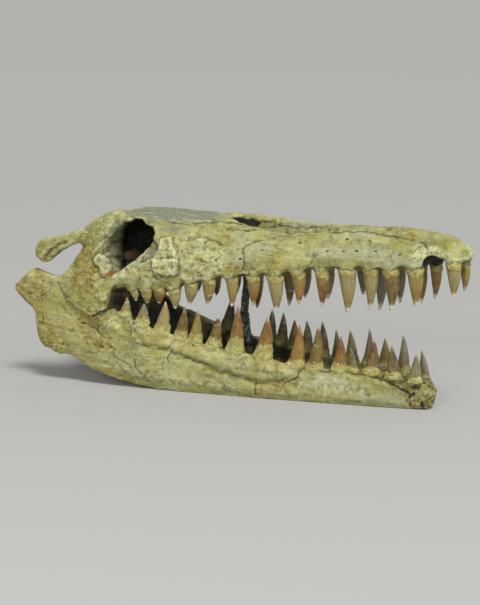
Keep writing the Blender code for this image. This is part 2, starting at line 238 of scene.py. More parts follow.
def sides(points, facing):
    """How much each point belongs to the outside of the right and of the left half."""
    right = fade(-facing[:, 1], -0.15, 0.25) * (points[:, 1] < 0)
    left = fade(facing[:, 1], -0.15, 0.25) * (points[:, 1] > 0)
    return right, left


def rough_skin(points, rough, seed):
    """The bone's own relief: lumps, flaked layers, fibres along the jaw, and pits where it is rough."""
    relief = 0.9 * cloud(points, 34, seed) + 0.65 * cloud(points, 13, seed + 1)
    relief += 0.35 * cloud(points, (26, 6, 4), seed + 2) + 0.3 * cloud(points, 5.5, seed + 3)
    relief -= 0.7 * fade(cloud(points, (30, 14, 12), seed + 8), 0.12, 0.2)
    relief += rough * (1.0 * cloud(points, 7, seed + 4) + 0.6 * cloud(points, 4, seed + 5))
    relief -= (0.35 + 1.4 * rough) * pits(points, 4.8, 0.45, seed + 6)
    return relief


def broken_line(points, flat, line, width, seed):
    """A crack that opens and closes along its length, and fades out here and there."""
    open_here = fade(cloud(points, 17, seed), -0.5, 0.35)
    return groove(flat, line, width) * (0.15 + 0.85 * open_here)


def packed_rings(node):
    """Middle and half widths of a packed tooth's rings, root first: four rings of six points."""
    flat = np.array([vert.co for vert in frame["nodes"][node].data.vertices], float) / MM
    single = np.unique(flat.round(3), axis=0)
    order = single[single[:, 2].argsort()].reshape(4, 6, 3)
    if "upper" in node:
        order = order[::-1]
    middles = order.mean(axis=1)
    radii = np.abs(order - middles[:, None]).max(axis=1)
    return middles, radii


def round_teeth(points, row):
    """1 where the jaw's margin swells round the base of a tooth of the row, 0 between the teeth."""
    swell = np.zeros(len(points))
    for node in frame["nodes"]:
        if not node.startswith(row):
            continue
        middles, radii = packed_rings(node)
        reach = radii[1] + (2.6, 3.4, 9)
        away = np.linalg.norm((points - middles[1]) / reach, axis=1)
        swell = np.maximum(swell, 1 - fade(away, 0.6, 1.1))
    return swell


# Outlines and lines below are x and z in millimetres, as seen from the side
ROCK_PATCH = [(-77, 218), (-57, 224), (-27, 218), (-6, 203)]
ROCK_PATCH += [(-8, 178), (-31, 163), (-56, 161), (-75, 172)]
PATCH_TOP = [(-76, 221), (-60, 226), (-44, 223), (-27, 219)]
STEPPED_LUMP = [(-99, 217), (-88, 220), (-80, 206), (-72, 190)]
STEPPED_LUMP += [(-72, 172), (-88, 167), (-105, 174), (-108, 187)]
STEP = [(-114, 190), (-98, 190), (-84, 194), (-70, 192)]
SMOOTH_FILLER = [(-84, 168), (-62, 176), (-58, 160), (-72, 150), (-92, 156)]
BROKEN_STUB = [(-187, 186), (-182, 178), (-176, 169)]
STUB_END = (-172, 165)
UNDER_EYE = [(-172, 160), (-130, 184), (-108, 192), (-100, 165), (-120, 152), (-165, 152)]
PRONG_FOLD = [(-275, 186), (-262, 197), (-250, 206), (-240, 208)]
PRONG_END = (-284, 180)
LUMP_IN_EYE = (-171, 187)
NOSTRIL_SHADOW = [(-16, 247), (-12, 240), (2, 238), (14, 236), (24, 237), (28, 241), (12, 247)]
EYE_FRONT_WALL = [(-116, 222), (-108, 213), (-100, 204), (-104, 194)]
EYE_FRONT_WALL += [(-116, 188), (-128, 184), (-124, 196)]
PRONG = [(-300, 196), (-276, 206), (-244, 214), (-240, 200), (-262, 184), (-296, 166)]
PRONG_UNDERSIDE = [(-296, 172), (-270, 180), (-248, 194), (-238, 200)]
CHEEK_BAR = [(-189, 150), (-173, 158), (-152, 162)]
JAW_KNOB = (-183, 134)
NOTCH = [(275, 196), (278, 206), (284, 211), (294, 210), (300, 203), (298, 192), (276, 190)]
SPLINTERED = [(258, 210), (268, 224), (292, 224), (304, 211)]
SPLINTERED += [(299, 203), (293, 212), (283, 213), (275, 206)]
EYE_MIDDLE = (-147, 208)
EYE_REACH = (38, 42)
NERVE_HOLES = [(144, 212), (166, 213), (185, 215), (211, 215), (245, 212), (168, 229), (200, 228)]
NERVE_HOLES += [(49, 209), (65, 202), (20, 196), (101, 221), (-148, 226)]
SEAMS = [
    [(-100, 244), (-60, 238), (-20, 236), (20, 232), (60, 238)],
    [(-38, 224), (-12, 214), (8, 204), (26, 214), (60, 226), (96, 230)],
    [(110, 240), (150, 236), (196, 239), (236, 234), (276, 230)],
    [(262, 236), (276, 226), (284, 216)],
    [(-108, 166), (-92, 158), (-70, 150)],
    [(-246, 126), (-232, 112), (-214, 104), (-196, 100)],
    [(116, 188), (124, 198), (126, 208)],
    [(31, 244), (63, 238), (104, 238), (142, 243)],
    [(24, 180), (27, 196), (21, 210)],
    [(-56, 240), (-20, 243), (24, 240)],
]
LEFT_SEAMS = [
    [(-96, 240), (-52, 232), (-8, 230), (40, 228), (88, 233)],
    [(-60, 214), (-30, 206), (-6, 212), (18, 203), (44, 208)],
    [(128, 234), (178, 229), (226, 232), (280, 224)],
    [(56, 184), (62, 198), (58, 212)],
    [(178, 200), (188, 212), (185, 226)],
    [(-224, 150), (-214, 170), (-218, 188)],
]
CHEEK_STAIN = [(-226, 132), (-206, 140), (-196, 172), (-198, 206), (-214, 216), (-226, 180)]
LEFT_ROCK = [(-40, 214), (10, 222), (30, 204), (4, 186), (-36, 190)]
ROOF_BLOTCH = (-84, 232)

# How far the carving stands out or is cut in, and its width, in millimetres
ROCK_STANDS = 1.3
LEFT_ROCK_STANDS = 1.1
LUMP_STANDS = 2.6
LUMP_TOP_STANDS = 1.8
STEP_DEPTH = 1.8
STEP_WIDTH = 1.8
STUB_STANDS = 3.8
MOAT_DEPTH = 0.8
BAR_STANDS = 2.6
BAR_WIDTH = 4.5
KNOB_STANDS = 2.2
FOLD_DEPTH = 2.2
FOLD_WIDTH = 2.6
SOCKET_SWELL = 1.2
BETWEEN_TEETH_DEPTH = 1.1
CRACK_DEPTH = 0.9
CRACK_WIDTH = 1.15
HOLE_DEPTH = 2.2
HOLE_REACH = (2.3, 1.3)
NOTCH_DEPTH = 9.5
FRONT_WALL_DEPTH = 3.4

cranium = fine_copy("cranium", "cranium_bone", SKULL_GRAIN, SKULL_ROUNDS)
points, facing = points_of(cranium), facings_of(cranium)
right, left = sides(points, facing)
ragged = wavy(points, 1.6, 11)
close = wavy(points, 0.5, 15)
height = points[:, 2]

# The rims of the eye sockets and of the nostrils are ragged
from_eye = (points[:, (0, 2)] - EYE_MIDDLE) / EYE_REACH
eye_distance = np.linalg.norm(from_eye, axis=1)
rim = np.exp(-(((eye_distance - 0.95) / 0.3) ** 2)) * (np.abs(points[:, 1]) > 40)
outward = from_eye / np.maximum(eye_distance, 0.01)[:, None]
tear = rim * (3.0 * cloud(points, (9, 30, 9), 17) + 1.6 * cloud(points, (4.5, 20, 4.5), 18))
moved = points.copy()
moved[:, 0] += outward[:, 0] * tear
moved[:, 2] += outward[:, 1] * tear
by_nostril = (height > 226) * (np.abs(points[:, 1]) < 28)
by_nostril = by_nostril * (points[:, 0] > -20) * (points[:, 0] < 112)
moved[:, 0] += by_nostril * 2.4 * cloud(points, (7, 7, 30), 25)
moved[:, 1] += by_nostril * (1.3 * cloud(points, (9, 9, 30), 26) + 0.8 * cloud(points, (4, 4, 20), 27))

rock = patch(ragged, ROCK_PATCH, 5) * right
lump = patch(ragged, STEPPED_LUMP, 3) * right
filler = patch(ragged, SMOOTH_FILLER, 5) * right
low_margin = fade(-height, -196, -176) * fade(points[:, 0], -120, -90)
low_margin = low_margin * (right + left)
cheek = fade(-points[:, 0], 140, 175) * (right + left)
left_rock = patch(ragged, LEFT_ROCK, 6) * left
under_eye = patch(ragged, UNDER_EYE, 6) * (right + left)
rough = rock + 0.8 * lump + 0.75 * low_margin + 0.6 * cheek + left_rock + 0.7 * under_eye
rough = np.clip(rough - 0.8 * filler, 0, 1)
shift = rough_skin(points, rough, 21)
shift += ROCK_STANDS * rock + LUMP_STANDS * lump + LEFT_ROCK_STANDS * left_rock
shift += LUMP_TOP_STANDS * lump * fade(-ragged[:, 1], -192, -188)
shift -= STEP_DEPTH * groove(close, STEP, STEP_WIDTH) * lump
from_stub = line_distance(wavy(points, 2.2, 45), BROKEN_STUB)
stub = (1 - fade(from_stub, 4.8, 8.5)) * right
moat = np.exp(-(((from_stub - 9.5) / 1.8) ** 2)) * right * fade(-points[:, 0], 176, 184)
bar = groove(ragged, CHEEK_BAR, BAR_WIDTH) * right
knob = blob(ragged, JAW_KNOB, (8, 9)) * right
fold = groove(ragged, PRONG_FOLD, FOLD_WIDTH) * right
shift += STUB_STANDS * stub - MOAT_DEPTH * moat + BAR_STANDS * bar
shift += KNOB_STANDS * knob - FOLD_DEPTH * fold
margin = round_teeth(points, "upper")
between = fade(-height, -200, -180) * fade(points[:, 0], -150, -130) * (1 - margin)
shift += SOCKET_SWELL * margin - BETWEEN_TEETH_DEPTH * between
moved[:, 2] -= margin * (2.6 + 1.8 * cloud(points, 4.5, 19)) * fade(-facing[:, 2], -0.2, 0.5)
cracks = np.zeros(len(points))
for seams, side in ((SEAMS, right), (LEFT_SEAMS, left)):
    for number, seam in enumerate(seams):
        crack = broken_line(points, wavy(points, 1.6, 31), seam, CRACK_WIDTH, 50 + number)
        cracks = np.maximum(cracks, crack * side)
shift -= CRACK_DEPTH * cracks
holes = np.zeros(len(points))
for hole in NERVE_HOLES:
    for side in (right, left):
        holes = np.maximum(holes, blob(wavy(points, 0.9, 47), hole, HOLE_REACH) * side)
shift -= HOLE_DEPTH * holes
splinters = patch(close, SPLINTERED, 2) * right
shift -= splinters * (0.9 + 1.5 * cloud(points, (2.6, 6, 9), 41))
notch = patch(wavy(points, 1.6, 43), NOTCH, 1.5) * right
shift -= NOTCH_DEPTH * notch
# The socket's front below is set in, and is painted grey as shade.
front_wall = patch(ragged, EYE_FRONT_WALL, 1.5) * right
shift -= FRONT_WALL_DEPTH * front_wall
put_points(cranium, moved + shift[:, None] * facing)

# The masks tell the finish where the bone is stained, chalky or cracked, and where shade is painted:
# black with rock grains in the eye sockets, nostril, notch and palate, and grey on the sockets' sides,
# under the prong and under the rear of the skull.
across = np.abs(points[:, 1])
skull_top = fade(facing[:, 2], 0.3, 0.7) * (height > 215)
# Painted shade in the eye socket: its inner part and its lower side near black.
in_socket = (eye_distance < 1.15) * (points[:, 0] > -184) * (1 - skull_top)
painted_shade_and_rock = in_socket * fade(-across, -66, -42)
lower_wall = in_socket * fade(-ragged[:, 1], -196, -186)
lower_wall = lower_wall * fade(facing[:, 0], 0.35, 0.6) * fade(-across, -74, -56)
brown_lump = blob(ragged, LUMP_IN_EYE, (9, 8)) * in_socket * (across < 40)
painted_shade_and_rock = np.maximum(painted_shade_and_rock, lower_wall) * (1 - 0.35 * brown_lump)
# Painted shade: the socket's forward-facing sides are painted grey.
painted_wall_shade = in_socket * fade(facing[:, 0], 0.3, 0.7) * (1 - painted_shade_and_rock)
# Painted shade under the palate, near black.
palate = fade(-facing[:, 2], 0.2, 0.6) * fade(-height, -214, -196) * fade(points[:, 0], -200, -185)
palate *= (1 - fade(np.abs(facing[:, 1]), 0.5, 0.9)) * (1 - margin)
roof = fade(facing[:, 2], 0.42, 0.8) * fade(-points[:, 0], 8, 45) * fade(points[:, 0], -175, -160)
roof *= fade(cloud(points, (34, 14, 14), 61), -0.95, -0.3)
roof = np.maximum(roof, 0.7 * blob(ragged, ROOF_BLOTCH, (26, 8)) * (right + left))
bleached = fade(cloud(points, (46, 30, 15), 63), -0.1, 0.5)
bleached *= fade(points[:, 0], -20, 30) * (1 - margin)
prong = patch(ragged, PRONG, 3) * right
# Painted shade along the prong's underside, grey.
underside = groove(ragged, PRONG_UNDERSIDE, 5) * right
# Painted shade under the rear of the skull, grey.
inner = (across < 70) * fade(-height, -205, -185) * (points[:, 0] < -180)
# Painted shadow, near black, inside the nostril and inside the notch.
nostril = patch(ragged, NOSTRIL_SHADOW, 1.5) * fade(-across, -27, -23)
cave = patch(wavy(points, 1.0, 43), NOTCH, 3.5) * fade(-across, -36, -30)
stain = patch(ragged, CHEEK_STAIN, 8) * right + 0.45 * low_margin + 0.5 * cheek * left
# The prong's share darkens the whole hook, partly as stain and partly as painted shade.
stain += 0.6 * groove(ragged, PATCH_TOP, 4) * right + 0.5 * margin + brown_lump + 0.5 * prong
prong_end = blob(ragged, PRONG_END, (8, 8)) * right
stub_end = blob(wavy(points, 2.6, 49), STUB_END, (6, 6)) * right
pale = 0.7 * knob + 0.3 * stub + 0.8 * lump + 0.5 * rock
pale = pale + 0.8 * splinters + prong_end + 0.3 * under_eye
write_masks(
    cranium,
    {
        "rough": rough,
        "pale": pale,
        "stain": stain,
        "rust": 0.9 * stub_end + 0.5 * brown_lump,
        "lilac": roof,
        "bleached": bleached,
        "ivory": 0.5 * cheek * fade(-height, -190, -150),
        # dark: open cracks, and painted shade in the nerve holes, the moat round the stub and the
        # prong's fold.
        "dark": most(0.7 * cracks, holes, 0.2 * moat, 0.4 * fold),
        "painted_shade_and_rock": most(painted_shade_and_rock, 0.8 * palate, 0.97 * nostril, 0.95 * cave),
        "grey_and_painted_shade": most(painted_wall_shade, 0.9 * front_wall, 0.6 * inner, 0.7 * underside * prong),
        **dirt_shade_and_wear_masks(cranium),
    },
)

# The finish of the bone: cream and khaki stone, with grey-green clouds, fibres along the jaw, brown
# grains in its pits, and chalky edges, with painted shade and painted highlight laid on by the masks.
# It is shared by the three large bones.


def add(tree, kind, inputs=None, **settings):
    made = tree.nodes.new("ShaderNode" + kind)
    for setting, value in settings.items():
        setattr(made, setting, value)
    for socket, value in (inputs or {}).items():
        if isinstance(value, bpy.types.NodeSocket):
            tree.links.new(value, made.inputs[socket])
        else:
            made.inputs[socket].default_value = value
    return made


def mixed(tree, share, under, over, mode="MIX"):
    """Over laid on under, by this share."""
    inputs = {0: share, 6: under, 7: over}
    return add(tree, "Mix", inputs, data_type="RGBA", blend_type=mode).outputs[2]


def maths(tree, operation, first, second=0.0):
    return add(tree, "Math", {0: first, 1: second}, operation=operation, use_clamp=True).outputs[0]


def laid(tree, under, over, place, share):
    """Over laid on under where a mask says so, and by this share of it."""
    return mixed(tree, maths(tree, "MULTIPLY", place, share), under, over)


def band(tree, value, start, end):
    """A mask that rises from 0 to 1 between two values."""
    inputs = {"Value": value, "From Min": start, "From Max": end}
    return add(tree, "MapRange", inputs, interpolation_type="SMOOTHSTEP").outputs[0]


def mask(tree, name):
    return add(tree, "Attribute", attribute_name=name).outputs["Fac"]


def new_group(name, inputs, outputs):
    group = bpy.data.node_groups.new(name, "ShaderNodeTree")
    for label, value in inputs.items():
        socket = group.interface.new_socket(label, in_out="INPUT", socket_type="NodeSocketFloat")
        socket.default_value = value
    for label in outputs:
        group.interface.new_socket(label, in_out="OUTPUT", socket_type="NodeSocketFloat")
    return group, group.nodes.new("NodeGroupInput"), group.nodes.new("NodeGroupOutput")


def noise(tree, where, scale, detail, stretch=(1, 1, 1), roughness=0.6):
    spot = add(tree, "Mapping", {"Vector": where, "Scale": stretch}).outputs[0]
    inputs = {"Vector": spot, "Scale": scale, "Detail": detail, "Roughness": roughness}
    return add(tree, "TexNoise", inputs).outputs["Fac"]


WARP_SIZE = 70.0
WARP_PULL = 0.03
CELL_SIZE = 34.0
FEW_SIZE = 38.0

group_inputs = {"Cloud size": 26.0, "Fibre size": 220.0, "Grain size": 900.0, "Roughness": 0.3}
group_outputs = ["Clouds", "Tints", "Mottle", "Fibres", "Grains", "Pinholes", "Hairlines", "Height"]
weathering, given, result = new_group("Weathered bone", group_inputs, group_outputs)
where = add(weathering, "TexCoord").outputs["Object"]
clouds = noise(weathering, where, given.outputs["Cloud size"], 6, (0.7, 1, 1.2), 0.68)
tints = noise(weathering, where, given.outputs["Cloud size"], 5, (1.3, 2.1, 2.3), 0.72)
mottle = noise(weathering, where, given.outputs["Fibre size"], 5, (0.45, 0.5, 0.5), 0.75)
fibres = noise(weathering, where, given.outputs["Fibre size"], 4, (0.12, 1, 1), 0.7)
grain = noise(weathering, where, given.outputs["Grain size"], 3)
grains = band(weathering, noise(weathering, where, given.outputs["Fibre size"], 4), 0.56, 0.68)
specks = noise(weathering, where, given.outputs["Grain size"], 2, (0.5, 0.5, 0.5))
pinholes = band(weathering, specks, 0.67, 0.75)
bent = add(weathering, "VectorMath", {0: where, 1: (0, 0, 0)}, operation="ADD")
warp = add(weathering, "TexNoise", {"Vector": where, "Scale": WARP_SIZE, "Detail": 4.0})
pull = {0: warp.outputs["Color"], "Scale": WARP_PULL}
pull = add(weathering, "VectorMath", pull, operation="SCALE")
weathering.links.new(pull.outputs[0], bent.inputs[1])
cells = {"Vector": bent.outputs[0], "Scale": CELL_SIZE}
cells = add(weathering, "TexVoronoi", cells, feature="DISTANCE_TO_EDGE")
thin = band(weathering, cells.outputs["Distance"], 0.022, 0.0)
few = band(weathering, noise(weathering, where, FEW_SIZE, 3), 0.53, 0.66)
hairlines = maths(weathering, "MULTIPLY", thin, few)
coarse = maths(weathering, "MULTIPLY", grains, given.outputs["Roughness"])
height_sum = add(weathering, "Math", {0: fibres, 1: grain}, operation="ADD").outputs[0]
height_sum = add(weathering, "Math", {0: height_sum, 1: mottle}, operation="ADD").outputs[0]
for lowered in (coarse, hairlines, pinholes):
    height_sum = add(weathering, "Math", {0: height_sum, 1: lowered}, operation="SUBTRACT").outputs[0]
group_values = (clouds, tints, mottle, fibres, grains, pinholes, hairlines, height_sum)
for label, value in zip(group_outputs, group_values):
    weathering.links.new(value, result.inputs[label])


def new_material(name, roughness):
    material = bpy.data.materials.new(name)
    material.use_nodes = True
    shader = material.node_tree.nodes["Principled BSDF"]
    shader.inputs["Roughness"].default_value = roughness
    return material, material.node_tree, shader


KHAKI = (0.29, 0.27, 0.075, 1)
CREAM = (0.46, 0.45, 0.18, 1)
GREY_GREEN = (0.22, 0.235, 0.115, 1)
YELLOW = (0.44, 0.365, 0.065, 1)
OCHRE = (0.29, 0.185, 0.035, 1)
CHALK = (0.70, 0.71, 0.42, 1)
UMBER = (0.10, 0.066, 0.016, 1)
SOIL_AND_SHADE = (0.028, 0.022, 0.010, 1)
BLEACHED = (0.42, 0.445, 0.285, 1)
IVORY = (0.45, 0.40, 0.125, 1)
LILAC = (0.235, 0.25, 0.195, 1)
GREY_AND_SHADE_TONE = (0.16, 0.165, 0.105, 1)
RUST = (0.20, 0.085, 0.012, 1)
PAINTED_SHADE_BLACK = (0.005, 0.005, 0.003, 1)
ROCK_GRAIN = (0.07, 0.07, 0.055, 1)

DRY_BONE = 0.72
DAMP_ROCK = 0.42
BONE_RELIEF = 1.7 * MM

bone, tree, shader = new_material("Fossil bone", DRY_BONE)
shader.inputs["Specular IOR Level"].default_value = 0.25
worn = add(tree, "Group", node_tree=weathering)
clouds, tints = worn.outputs["Clouds"], worn.outputs["Tints"]
mottle, fibres = worn.outputs["Mottle"], worn.outputs["Fibres"]
colour = mixed(tree, band(tree, clouds, 0.36, 0.62), KHAKI, CREAM)
colour = laid(tree, colour, GREY_GREEN, band(tree, tints, 0.51, 0.66), 0.85)
colour = laid(tree, colour, YELLOW, band(tree, tints, 0.47, 0.33), 0.7)
colour = laid(tree, colour, GREY_GREEN, band(tree, fibres, 0.48, 0.72), 0.5)
colour = laid(tree, colour, CHALK, band(tree, fibres, 0.44, 0.28), 0.4)
colour = laid(tree, colour, BLEACHED, mask(tree, "bleached"), 0.55)
colour = laid(tree, colour, LILAC, mask(tree, "lilac"), 0.8)
# Grey: the jaws' own grey on their top rims, and painted shade in the skull's eye sockets, under the
# prong and under its rear.
colour = laid(tree, colour, GREY_AND_SHADE_TONE, mask(tree, "grey_and_painted_shade"), 0.85)
# Pale: chalky bone, and on the lower jaws also painted highlight on the bar, the plate and the pale
# bands.
colour = laid(tree, colour, CHALK, mask(tree, "pale"), band(tree, mottle, 0.62, 0.4))
colour = laid(tree, colour, CHALK, mask(tree, "edge"), 0.55)
colour = laid(tree, colour, IVORY, mask(tree, "ivory"), band(tree, tints, 0.72, 0.36))
stained = maths(tree, "MULTIPLY", mask(tree, "stain"), band(tree, mottle, 0.36, 0.6))
colour = laid(tree, colour, OCHRE, stained, 0.65)
dirty = maths(tree, "ADD", mask(tree, "rough"), mask(tree, "stain"))
dirty = maths(tree, "ADD", dirty, 0.25)
speckled = maths(tree, "MULTIPLY", dirty, worn.outputs["Grains"])
colour = laid(tree, colour, UMBER, speckled, 0.8)
colour = laid(tree, colour, UMBER, band(tree, mottle, 0.52, 0.7), 0.5)
colour = laid(tree, colour, CHALK, band(tree, mottle, 0.46, 0.3), 0.45)
colour = laid(tree, colour, UMBER, worn.outputs["Pinholes"], 0.75)
# Dirt and painted shade darken the hollows.
colour = laid(tree, colour, UMBER, mask(tree, "dirt_and_shade_in_hollows"), 0.65)
colour = laid(tree, colour, UMBER, worn.outputs["Hairlines"], 0.6)
colour = mixed(tree, mask(tree, "rust"), colour, RUST)
# Dark cracks, with painted shade in holes and grooves.
colour = mixed(tree, mask(tree, "dark"), colour, SOIL_AND_SHADE)
# Painted shade, near black with rock grains, in the eye sockets, nostril, notch and palate and on the
# jaws' inner faces.
shade_and_rock_black = mixed(tree, worn.outputs["Grains"], PAINTED_SHADE_BLACK, ROCK_GRAIN)
colour = mixed(tree, mask(tree, "painted_shade_and_rock"), colour, shade_and_rock_black)
gloss = {"Value": mask(tree, "painted_shade_and_rock"), "To Min": DRY_BONE, "To Max": DAMP_ROCK}
gloss = add(tree, "MapRange", gloss).outputs[0]
relief = {"Height": worn.outputs["Height"], "Strength": 0.9, "Distance": BONE_RELIEF}
relief = add(tree, "Bump", relief)
tree.links.new(colour, shader.inputs["Base Color"])
tree.links.new(gloss, shader.inputs["Roughness"])
tree.links.new(relief.outputs[0], shader.inputs["Normal"])


def hand_over(piece, material, slot, *nodes):
    """Gives a finished piece its material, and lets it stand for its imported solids."""
    piece.data.materials.append(material)
    select_only(piece)
    bpy.ops.object.shade_smooth()
    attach(piece, BODY)
    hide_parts(*nodes)


hand_over(cranium, bone, "fossil_bone", "cranium")

# The right lower jaw: the near one, of several bones pressed together, with a raised plate, long
# grooves between its bones, open cracks, and a chin of dark, pitted rock. Its rear end is broken.
JAW_GRAIN = 1.75 * MM
JAW_ROUNDS = 9
PLATE = [(-142, 91), (-120, 95), (-99, 92), (-80, 76), (-88, 65), (-105, 62), (-128, 69), (-140, 79)]
WHITE_SPOT = (-171, 92)
REAR_LUMP = [(-297, 102), (-284, 104), (-266, 84), (-254, 56), (-262, 38), (-300, 52)]
BROWN_PITS = [(-218, 106), (-192, 96), (-180, 78), (-176, 58), (-196, 56), (-214, 70), (-224, 88)]
KNOB_STAIN = [(-334, 140), (-296, 168), (-280, 146), (-290, 108), (-312, 112)]
SOFT_FILLER = [(196, 52), (226, 46), (250, 34), (262, 30), (262, 46), (240, 56), (204, 60)]
LOWER_BAND = [(-190, 38), (-140, 26), (-80, 18), (0, 14)]
FRONT_BAND = [(104, 26), (150, 28), (200, 22)]
YELLOW_PLATE = [(40, 28), (84, 26), (88, 8), (46, 4)]
# How much of each jaw's inner face gets the film of rock with its painted shade.
INNER_ROCK_AND_SHADE = {"lower_right": (-0.1, 0.5), "lower_left": (-1, -0.6)}
LONG_GROOVE = [(-139, 84), (-122, 66), (-97, 63), (-60, 51), (-34, 44)]
LONG_GROOVE += [(-5, 33), (26, 27), (51, 23), (83, 28)]
ROUND_BAR = [(-78, 68), (-39, 60), (7, 56), (56, 49), (92, 43)]
JAW_CRACKS = [
    [(-236, 80), (-215, 59), (-191, 51), (-167, 45), (-147, 35)],
    [(-137, 43), (-135, 31), (-125, 18), (-115, 11)],
    [(111, 47), (107, 46), (104, 33), (87, 26), (84, 21), (91, 9)],
    [(45, 23), (43, 3)],
    [(-254, 118), (-241, 104), (-222, 94), (-198, 85), (-183, 69), (-167, 55)],
    [(-81, 60), (-86, 50), (-84, 40)],
]
SHELF = [(96, 52), (128, 45), (163, 46), (204, 44), (226, 38), (248, 28), (262, 20)]
CHIN = [(206, 46), (222, 40), (240, 30), (256, 18), (262, -4), (300, -4), (300, 50), (240, 60)]
TOP_RIM_X = (-160, -60, 60, 290)
TOP_RIM_Z = (96, 70, 53, 38)
PLATE_STANDS = 2.6
REAR_LUMP_STANDS = 1.2
JAW_BAR_STANDS = 2.2
WHITE_SPOT_STANDS = 0.8
BROWN_PITS_DEPTH = 0.8
RIM_DEPTH = 1.0
CHIN_LUMPS = 2.4
CHIN_GRAINS = 1.2
CHIN_DEPTH = 0.8
CHIN_PIT_DEPTH = 2.0
GROOVE_DEPTH = 3.2
GROOVE_WIDTH = 4.2
SHELF_DEPTH = 1.6
SHELF_WIDTH = 3.2
JAW_CRACK_DEPTH = 1.2
JAW_CRACK_WIDTH = 1.1
SHELF_CRACK_WIDTH = 1.2


def carve_jaw(piece, row, side, seed):
    """Carves a lower jaw and writes its masks; side is -1 for the right jaw and 1 for the left."""
    points, facing = points_of(piece), facings_of(piece)
    outside = fade(side * facing[:, 1], -0.15, 0.25)
    ragged = wavy(points, 1.5, seed)
    close = wavy(points, 0.9, seed + 4)
    height = points[:, 2]
    plate = patch(close, PLATE, 2.5) * outside
    spot = blob(ragged, WHITE_SPOT, (15, 8)) * outside
    rear = patch(ragged, REAR_LUMP, 5) * outside
    bar = groove(ragged, ROUND_BAR, 8) * outside
    chin = patch(ragged, CHIN, 5)
    pitted = patch(ragged, BROWN_PITS, 7) * outside
    knob = patch(ragged, KNOB_STAIN, 7) * outside
    filler = patch(ragged, SOFT_FILLER, 5) * outside
    top_rim = fade(height - np.interp(points[:, 0], TOP_RIM_X, TOP_RIM_Z), -4, 4)
    top_rim *= fade(points[:, 0], -185, -165)
    rough = np.clip(0.9 * rear + chin + 0.85 * top_rim + pitted + 0.8 * knob - filler, 0, 1)
    on_floor = fade(height, 0.3, 4)
    margin = round_teeth(points, row)
    smooth = np.maximum(plate, 0.7 * bar)
    rough = rough * (1 - smooth)
    shift = rough_skin(points, rough, seed + 9) * (1 - 0.6 * smooth)
    shift += PLATE_STANDS * plate + REAR_LUMP_STANDS * rear + JAW_BAR_STANDS * bar
    shift += WHITE_SPOT_STANDS * spot - BROWN_PITS_DEPTH * pitted
    shift += SOCKET_SWELL * margin - RIM_DEPTH * top_rim * (1 - margin)
    chin_pits = pits(points, 5.5, 0.6, seed + 22)
    lumps = CHIN_LUMPS * cloud(points, 8, seed + 20) + CHIN_GRAINS * cloud(points, 3.8, seed + 23)
    shift += chin * (lumps - CHIN_DEPTH - CHIN_PIT_DEPTH * chin_pits)
    seam = groove(ragged, LONG_GROOVE, GROOVE_WIDTH) * outside
    shelf = groove(ragged, SHELF, SHELF_WIDTH) * outside
    cracks = broken_line(points, close, SHELF, SHELF_CRACK_WIDTH, seed + 39) * outside
    for number, line in enumerate(JAW_CRACKS):
        crack = broken_line(points, close, line, JAW_CRACK_WIDTH, seed + 40 + number)
        cracks = np.maximum(cracks, crack * outside)
    shift -= GROOVE_DEPTH * seam + SHELF_DEPTH * shelf + JAW_CRACK_DEPTH * cracks
    moved = points.copy()
    moved[:, 2] += margin * (2.4 + 1.8 * cloud(points, 4.5, seed + 21)) * fade(facing[:, 2], -0.2, 0.5)
    put_points(piece, moved + (shift * on_floor)[:, None] * facing)
    # Painted shade on the inner face, made darker by a patchy film of rock where it is seen through the
    # mouth.
    inner = fade(-side * facing[:, 1], 0.1, 0.6) * (1 - 0.8 * margin)
    rock_and_shade_film = fade(cloud(points, (40, 20, 20), seed + 32), *INNER_ROCK_AND_SHADE[row])
    rock_and_shade_film *= fade(ragged[:, 0], -276, -262) * fade(-ragged[:, 0], -150, -90)
    # Painted light: pale bands along the lower band and the front of the jaw, where light falls.
    painted_light_bands = 0.5 * groove(ragged, LOWER_BAND, 9) + 0.6 * groove(ragged, FRONT_BAND, 11)
    blotches = fade(cloud(points, 9, seed + 30), -0.1, 0.5)
    stain = 0.7 * chin + 0.5 * top_rim + 0.8 * rear + 0.9 * pitted + 0.8 * knob + 0.6 * filler
    stain += 0.55 * patch(ragged, YELLOW_PLATE, 3) * outside + 0.7 * inner
    stain += 0.8 * groove(ragged, JAW_CRACKS[2], 5) * outside
    bleached = fade(cloud(points, (50, 30, 14), seed + 33), -0.2, 0.4) * fade(points[:, 0], 84, 104)
    bleached *= outside * (1 - margin) * (1 - chin)
    # Painted shade in the long groove and under the shelf, besides the dark cracks and the pitted chin.
    dark = 0.75 * cracks + 0.3 * seam + 0.2 * shelf + 0.4 * filler * blotches
    dark += chin * (0.15 + 0.35 * blotches + 0.6 * chin_pits)
    thin_film = fade(cloud(points, 12, seed + 34), 0, 0.5)
    write_masks(
        piece,
        {
            "rough": rough,
            # The plate and the bar are paled partly for their cream bone and partly as painted
            # highlight.
            "pale": spot + 0.7 * plate + 0.7 * bar + painted_light_bands * outside,
            "stain": stain,
            "rust": np.zeros(len(points)),
            "lilac": np.zeros(len(points)),
            "bleached": bleached,
            "ivory": most(plate, bar, 0.55 * outside * fade(-points[:, 0], 150, 210)),
            "dark": dark,
            "painted_shade_and_rock": inner * (0.35 + 0.6 * rock_and_shade_film) * (1 - 0.4 * thin_film),
            "grey_and_painted_shade": 0.5 * top_rim * fade(cloud(points, 14, seed + 31), 0, 0.4),
            **dirt_shade_and_wear_masks(piece),
        },
    )


right_jaw = fine_copy("right_mandible", "right_jaw_bone", JAW_GRAIN, JAW_ROUNDS)
carve_jaw(right_jaw, "lower_right", side=-1, seed=61)
hand_over(right_jaw, bone, "fossil_bone", "right_mandible")

